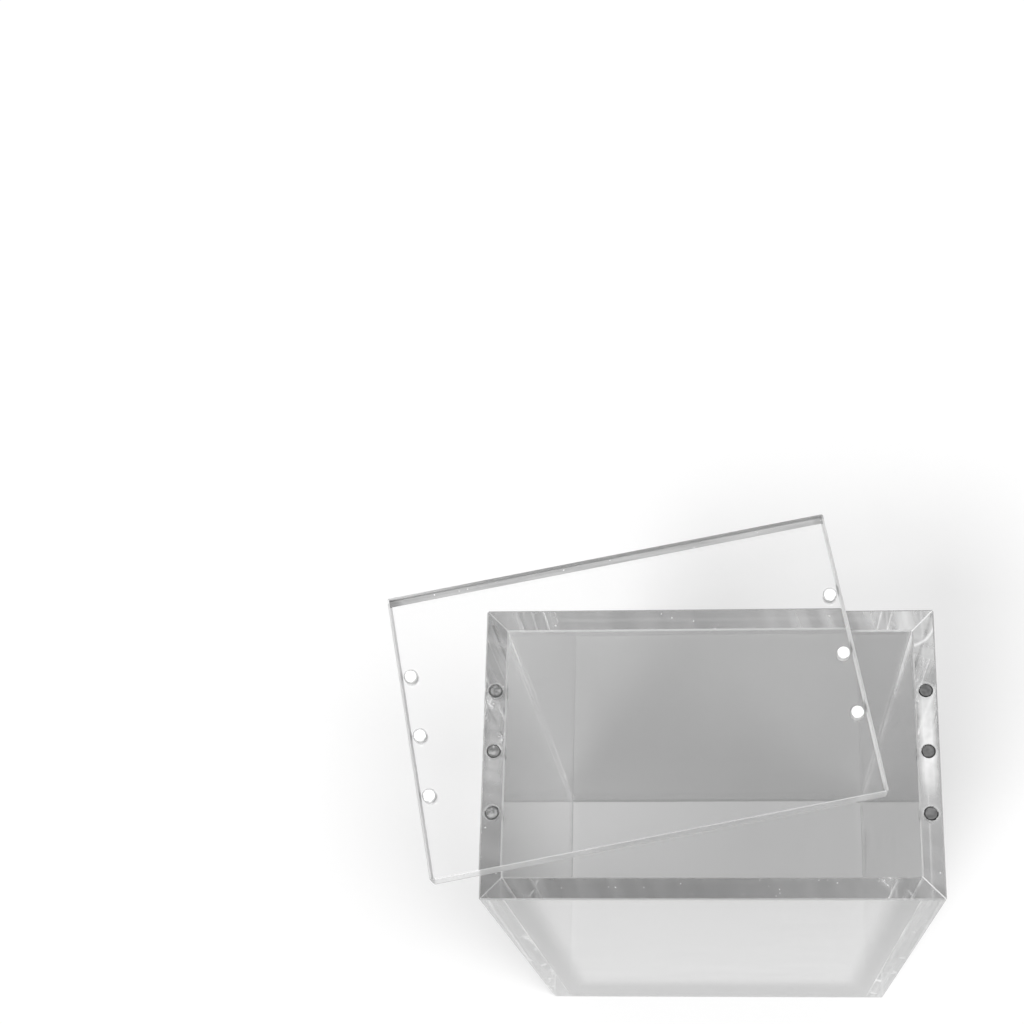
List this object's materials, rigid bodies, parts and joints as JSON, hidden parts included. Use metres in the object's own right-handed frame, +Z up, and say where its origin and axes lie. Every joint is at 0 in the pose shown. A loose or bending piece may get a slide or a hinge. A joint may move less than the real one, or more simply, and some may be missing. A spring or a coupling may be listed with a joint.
{
  "type": "acrylic game box protector",
  "caption": "Tall clear acrylic display case for a boxed game: a box of thick mitred walls on a let-in base, with a loose flat lid that small magnets hold to the rim.",
  "frame": {"origin": "centre of the case's underside, on the surface that it stands on", "axes": "+Z up along the case's height, +X to the right along its long side, +Y to the back"},
  "size_m": [0.1101, 0.0775, 0.163],
  "materials": {
    "case_acrylic": "clear polished acrylic, cemented at the joints",
    "lid_acrylic": "clear polished acrylic sheet",
    "rim_magnet_plating": "dull nickel plating, darkened under a film of glue",
    "lid_magnet_plating": "bright nickel plating"
  },
  "bodies": {
    "root": {"base_panel": "case_acrylic", "front_wall": "case_acrylic", "back_wall": "case_acrylic", "left_wall": "case_acrylic", "right_wall": "case_acrylic", "lid": "lid_acrylic", "rim_magnet_left_front": "rim_magnet_plating", "rim_magnet_left_middle": "rim_magnet_plating", "rim_magnet_left_back": "rim_magnet_plating", "rim_magnet_right_front": "rim_magnet_plating", "rim_magnet_right_middle": "rim_magnet_plating", "rim_magnet_right_back": "rim_magnet_plating", "lid_magnet_left_front": "lid_magnet_plating", "lid_magnet_left_middle": "lid_magnet_plating", "lid_magnet_left_back": "lid_magnet_plating", "lid_magnet_right_front": "lid_magnet_plating", "lid_magnet_right_middle": "lid_magnet_plating", "lid_magnet_right_back": "lid_magnet_plating"}
  },
  "joints": []
}
